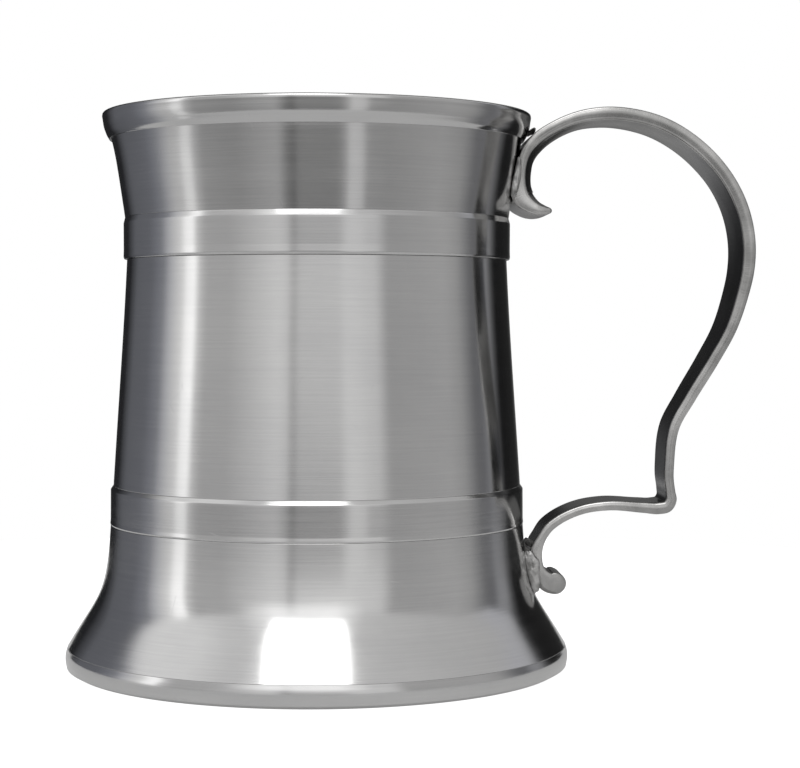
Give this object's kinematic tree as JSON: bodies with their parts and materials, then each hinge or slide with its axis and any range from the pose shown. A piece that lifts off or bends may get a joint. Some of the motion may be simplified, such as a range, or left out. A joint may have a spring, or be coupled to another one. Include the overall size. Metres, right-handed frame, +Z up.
{
  "type": "pewter tankard",
  "caption": "Footed pewter drinking tankard with a flared neck, raised bands, a flared foot and a scrolled strap handle.",
  "frame": {"origin": "on the table, under the centre of the overall box of body and handle", "axes": "+Z up along the tankard's turned axis, +X from the body towards the handle, +Y across the handle"},
  "size_m": [0.1496, 0.1094, 0.1214],
  "materials": {
    "turned_pewter": "satin pewter with fine turning lines",
    "cast_pewter": "cast pewter, edges brushed across, inner face smooth",
    "solder": "grainy bright tin solder"
  },
  "bodies": {
    "root": {"foot_ring": "turned_pewter", "foot_skirt": "turned_pewter", "lower_band": "turned_pewter", "drum": "turned_pewter", "upper_band": "turned_pewter", "neck": "turned_pewter", "lip_moulding": "turned_pewter", "base_plate": "turned_pewter", "base_solder_ring": "solder", "handle": "cast_pewter", "neck_solder_left": "solder", "neck_solder_right": "solder", "skirt_solder_left": "solder", "skirt_solder_right": "solder", "skirt_solder_drop": "solder", "lip_solder_drop": "solder"}
  },
  "joints": []
}
